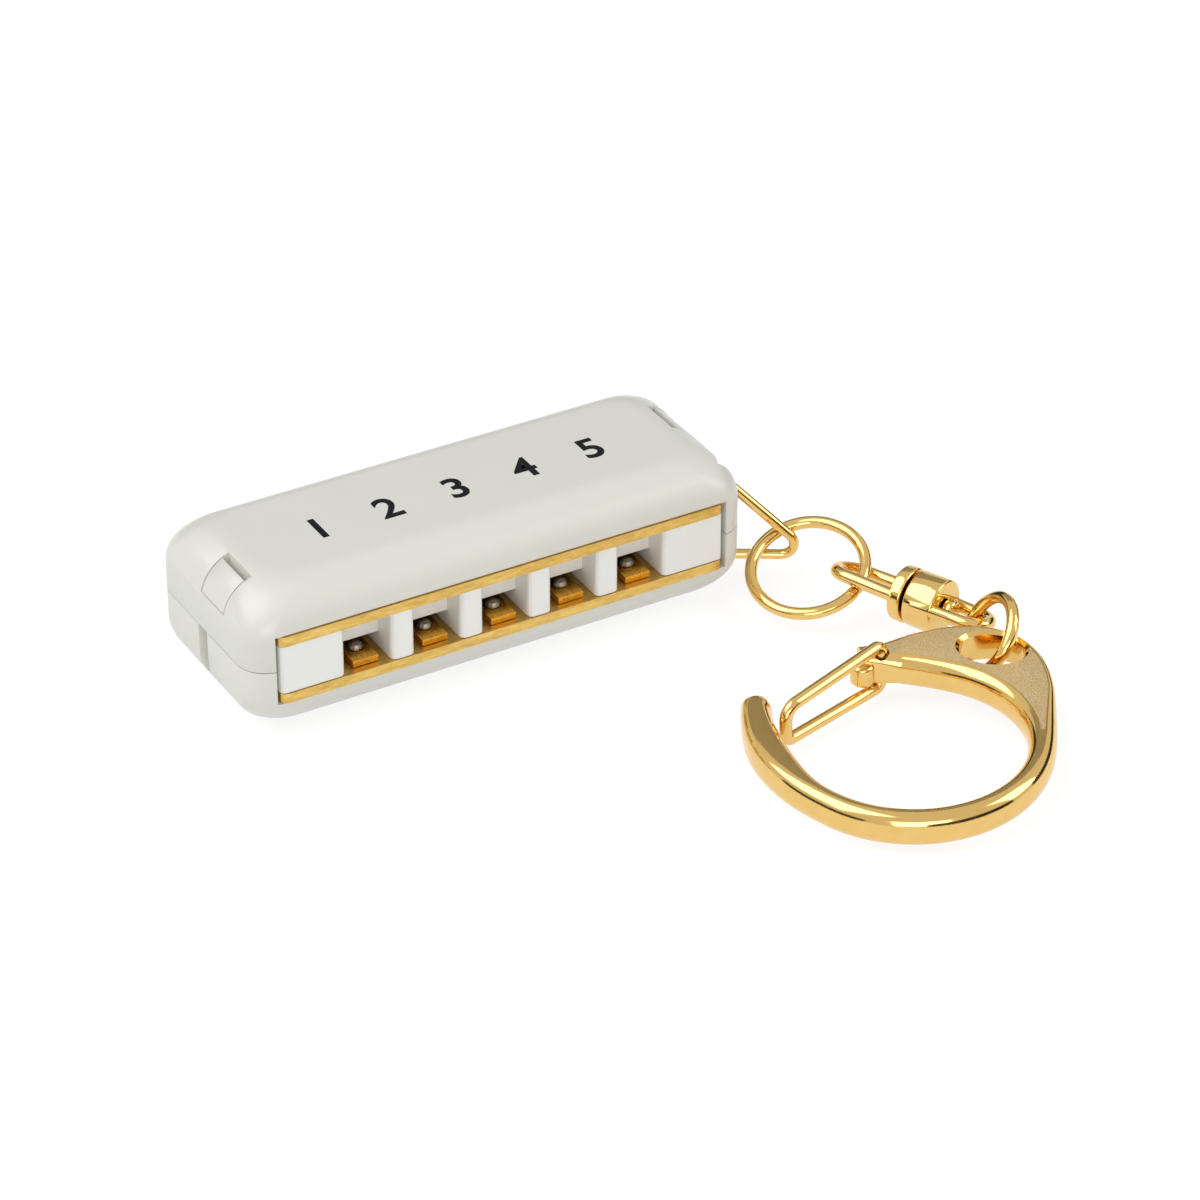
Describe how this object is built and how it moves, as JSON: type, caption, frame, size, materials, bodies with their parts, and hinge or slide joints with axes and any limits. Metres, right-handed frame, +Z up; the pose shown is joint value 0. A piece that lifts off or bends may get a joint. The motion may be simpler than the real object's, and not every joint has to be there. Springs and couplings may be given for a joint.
{
  "type": "mini harmonica on a key clasp",
  "caption": "Small harmonica with snapped plastic covers, brass reed plates and a swivelling clasp on a wire bail.",
  "frame": {"origin": "middle of the harmonica's underside", "axes": "+X along the mouth holes towards the bail, +Y from the mouth holes to the rear, +Z up"},
  "size_m": [0.0622, 0.0595, 0.0135],
  "materials": {
    "covers": "smooth glossy off-white",
    "comb": "smooth white",
    "plates": "sheared and brushed brass",
    "reeds": "bright brass strip",
    "rivets": "domed rivet heads",
    "gold": "polished gold plating",
    "clasp": "polished gold plating, grained top face"
  },
  "bodies": {
    "harmonica": {"comb": "comb", "lower_reed_plate": "plates", "upper_reed_plate": "plates", "top_cover": "covers", "bottom_cover": "covers", "blow_reed_1": "reeds", "blow_reed_2": "reeds", "blow_reed_3": "reeds", "blow_reed_4": "reeds", "blow_reed_5": "reeds", "blow_rivet_1": "rivets", "blow_rivet_2": "rivets", "blow_rivet_3": "rivets", "blow_rivet_4": "rivets", "blow_rivet_5": "rivets", "draw_reed_1": "reeds", "draw_reed_2": "reeds", "draw_reed_3": "reeds", "draw_reed_4": "reeds", "draw_reed_5": "reeds", "draw_rivet_1": "rivets", "draw_rivet_2": "rivets", "draw_rivet_3": "rivets", "draw_rivet_4": "rivets", "draw_rivet_5": "rivets"},
    "bail": {"wire_bail": "gold"},
    "large_ring": {"large_jump_ring": "gold"},
    "swivel_a": {"swivel_link_a": "gold", "swivel_pin": "gold"},
    "swivel_b": {"swivel_link_b": "gold"},
    "small_ring": {"small_jump_ring": "gold"},
    "clasp": {"clasp_body": "clasp"},
    "gate": {"clasp_gate": "gold"}
  },
  "joints": [
    {"name": "bail_swing", "type": "hinge", "parent": "harmonica", "child": "bail", "pos_m": [0.0229, -0.00475, 0.00675], "axis": [0, 0, 1], "range_deg": [-4, 68]},
    {"name": "ring_turn", "type": "hinge", "parent": "bail", "child": "large_ring", "pos_m": [0.0283, -0.01199, 0.00297], "axis": [-0.3039, -0.212, 0.9288], "range_deg": [-30, 45]},
    {"name": "link_swing", "type": "hinge", "parent": "large_ring", "child": "swivel_a", "pos_m": [0.03163, -0.01576, 0.0032], "axis": [0.6856, 0.6282, 0.3677], "range_deg": [-20, 35]},
    {"name": "swivel_turn", "type": "hinge", "parent": "swivel_a", "child": "swivel_b", "pos_m": [0.03366, -0.02078, 0.00312], "axis": [0.3987, -0.9171, 0], "continuous": true},
    {"name": "small_ring_swing", "type": "hinge", "parent": "swivel_b", "child": "small_ring", "pos_m": [0.03658, -0.02751, 0.00312], "axis": [-0.8231, 0.226, 0.521], "range_deg": [-12, 40]},
    {"name": "clasp_swing", "type": "hinge", "parent": "small_ring", "child": "clasp", "pos_m": [0.03571, -0.03038, 0.00291], "axis": [-0.7311, 0.6822, -0.0117], "range_deg": [-15, 35]},
    {"name": "gate_hinge", "type": "hinge", "parent": "clasp", "child": "gate", "pos_m": [0.02562, -0.0279, 0.00257], "axis": [-0.0403, -0.0261, 0.9988], "range_deg": [0, 30], "stiffness_Nm_per_rad": 0.006, "springref_deg": -8.59}
  ]
}
